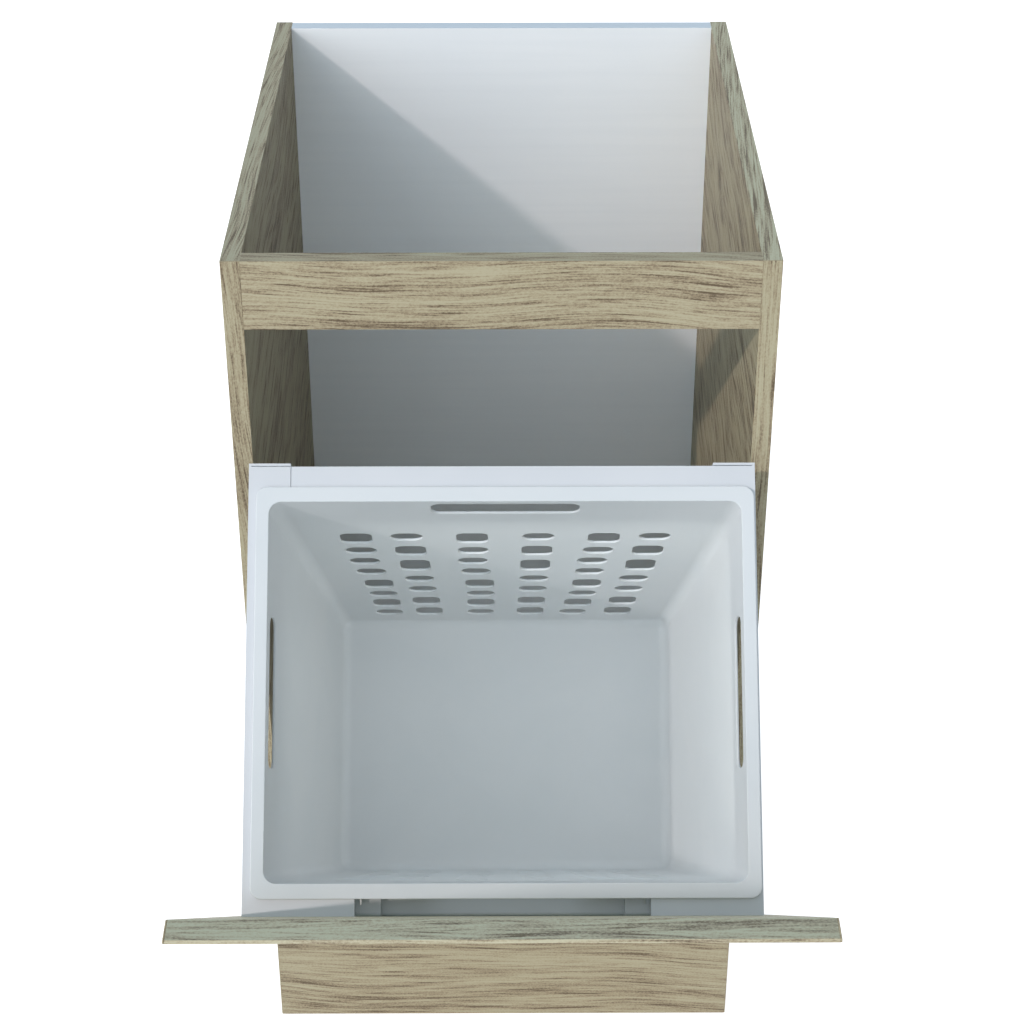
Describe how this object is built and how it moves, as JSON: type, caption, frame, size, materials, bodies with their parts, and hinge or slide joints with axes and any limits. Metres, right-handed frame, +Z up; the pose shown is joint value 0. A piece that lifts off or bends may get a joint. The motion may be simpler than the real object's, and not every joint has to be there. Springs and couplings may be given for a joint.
{
  "type": "laundry basket base unit",
  "caption": "Kitchen base cabinet on levelling legs; its full-height front tilts out on bottom hinges and carries a lift-out ventilated laundry basket.",
  "frame": {"origin": "on the floor, at the middle of the bounding box of the unit with its front tilted out to the stop", "axes": "+X to the right seen from the front, +Y towards the wall behind the unit, +Z up"},
  "size_m": [0.45, 1.0764, 0.87],
  "materials": {
    "oak_board": "satin, light oak decor with fine dark pores",
    "oak_band": "satin, light oak decor edge band",
    "white_board": "satin white melamine",
    "beech": "raw",
    "zinc_steel": "bright zinc plated",
    "white_steel": "satin white powder coat",
    "white_plastic": "satin moulded, cool white",
    "black_plastic": "fine-textured black",
    "nylon": "natural, smooth"
  },
  "bodies": {
    "cabinet": {"side_panel_left": "oak_board", "side_panel_right": "oak_board", "side_edge_bands": "oak_band", "bottom_panel": "white_board", "back_panel": "white_board", "front_rail": "oak_board", "cabinet_screws": "zinc_steel", "cabinet_dowels": "beech", "leg_sockets": "black_plastic", "leg_tubes": "black_plastic", "leg_screws": "zinc_steel", "plinth_board": "oak_board", "plinth_edge_bands": "oak_band", "plinth_clips": "black_plastic", "clip_screws": "zinc_steel", "hinge_leaves_cabinet": "zinc_steel", "hinge_pins": "zinc_steel", "hinge_screws_cabinet": "zinc_steel", "stop_pins": "zinc_steel", "stop_rollers": "nylon"},
    "foot_front_left": {"foot_front_left": "black_plastic"},
    "foot_front_right": {"foot_front_right": "black_plastic"},
    "foot_back_left": {"foot_back_left": "black_plastic"},
    "foot_back_right": {"foot_back_right": "black_plastic"},
    "door": {"hinge_leaves_door": "zinc_steel", "hinge_screws_door": "zinc_steel", "stay_plate_left": "zinc_steel", "stay_plate_right": "zinc_steel", "stay_screws": "zinc_steel", "door_panel": "oak_board", "door_edge_bands": "oak_band", "carrier_frame_left": "white_steel", "carrier_frame_right": "white_steel", "carrier_cross_bar": "white_steel", "carrier_rivets": "zinc_steel", "carrier_screws": "zinc_steel"},
    "basket": {"laundry_basket": "white_plastic"}
  },
  "joints": [
    {"name": "door_tilt", "type": "hinge", "parent": "cabinet", "child": "door", "pos_m": [0, -0.01531, 0.184], "axis": [1, 0, 0], "range_deg": [-48.5, 0]},
    {"name": "basket_lift", "type": "slide", "parent": "door", "child": "basket", "axis": [0, -0.7133, 0.7009], "range_m": [0, 0.36]},
    {"name": "foot_front_left_level", "type": "slide", "parent": "cabinet", "child": "foot_front_left", "axis": [0, 0, -1], "range_m": [-0.005, 0.02]},
    {"name": "foot_front_right_level", "type": "slide", "parent": "cabinet", "child": "foot_front_right", "axis": [0, 0, -1], "range_m": [-0.005, 0.02]},
    {"name": "foot_back_left_level", "type": "slide", "parent": "cabinet", "child": "foot_back_left", "axis": [0, 0, -1], "range_m": [-0.005, 0.02]},
    {"name": "foot_back_right_level", "type": "slide", "parent": "cabinet", "child": "foot_back_right", "axis": [0, 0, -1], "range_m": [-0.005, 0.02]}
  ]
}
